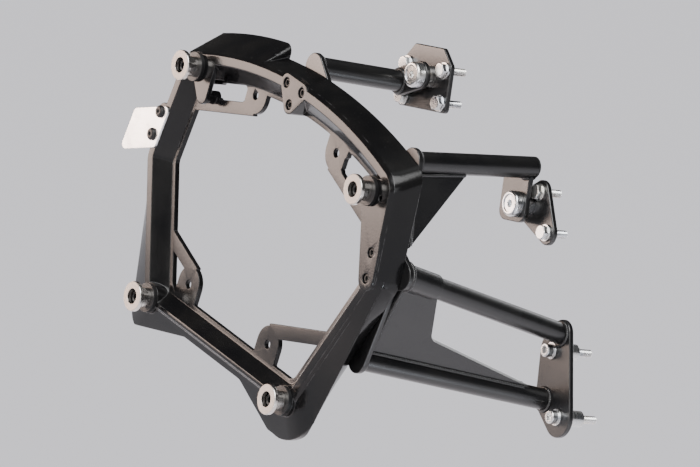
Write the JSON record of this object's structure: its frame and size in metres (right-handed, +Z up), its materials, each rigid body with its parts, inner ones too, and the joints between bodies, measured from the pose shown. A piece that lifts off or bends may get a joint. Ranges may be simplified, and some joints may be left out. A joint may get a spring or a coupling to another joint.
{
  "type": "pannier frame",
  "caption": "Side carrier ring for a motorbike case, with flanged hook pins and tubular arms that bolt to the bike's tail and frame",
  "frame": {"origin": "centre of the four case pins, on the plane of the ring's outboard face", "axes": "+X forward on the bike, +Y inboard, +Z up; the case hangs on the -Y side"},
  "size_m": [0.3601, 0.2385, 0.2955],
  "materials": {
    "ring_coat": "satin black powder coat on a casting",
    "arm_coat": "satin black powder coat on steel tube and plate",
    "pin_steel": "turned and bright",
    "black_moulding": "matt black moulding",
    "black_steel": "black oxide",
    "zinc_steel": "zinc plated",
    "bare_aluminium": "bare sheet, lightly brushed"
  },
  "bodies": {
    "root": {"carrier_ring": "ring_coat", "top_flange": "arm_coat", "upper_arm_tube": "arm_coat", "upper_arm_tab": "arm_coat", "tail_bracket": "arm_coat", "front_plate": "arm_coat", "middle_arm_tube": "arm_coat", "middle_gusset": "arm_coat", "middle_arm_tab": "arm_coat", "middle_bracket": "arm_coat", "lower_arm_upper_tube": "arm_coat", "lower_arm_lower_tube": "arm_coat", "lower_arm_sleeve": "arm_coat", "lower_arm_web": "arm_coat", "foot_plate": "arm_coat", "case_pin_upper_rear": "pin_steel", "case_pin_upper_front": "pin_steel", "case_pin_lower_rear": "pin_steel", "case_pin_lower_front": "pin_steel", "pin_base_washers": "black_moulding", "middle_tube_plug": "black_moulding", "pin_screws": "black_steel", "joint_screws": "black_steel", "joint_nuts": "black_steel", "rear_tab_screws": "black_steel", "pin_nuts": "zinc_steel", "rear_tab_nuts": "zinc_steel", "upper_turn_fastener": "zinc_steel", "upper_fastener_boss": "zinc_steel", "middle_turn_fastener": "zinc_steel", "middle_fastener_boss": "zinc_steel", "tail_bolts": "zinc_steel", "tail_bolt_washers": "zinc_steel", "middle_bolts": "zinc_steel", "middle_bolt_washers": "zinc_steel", "foot_bolts": "zinc_steel", "foot_bolt_washers": "zinc_steel", "foot_spacers": "zinc_steel", "rear_tab": "bare_aluminium"}
  },
  "joints": []
}
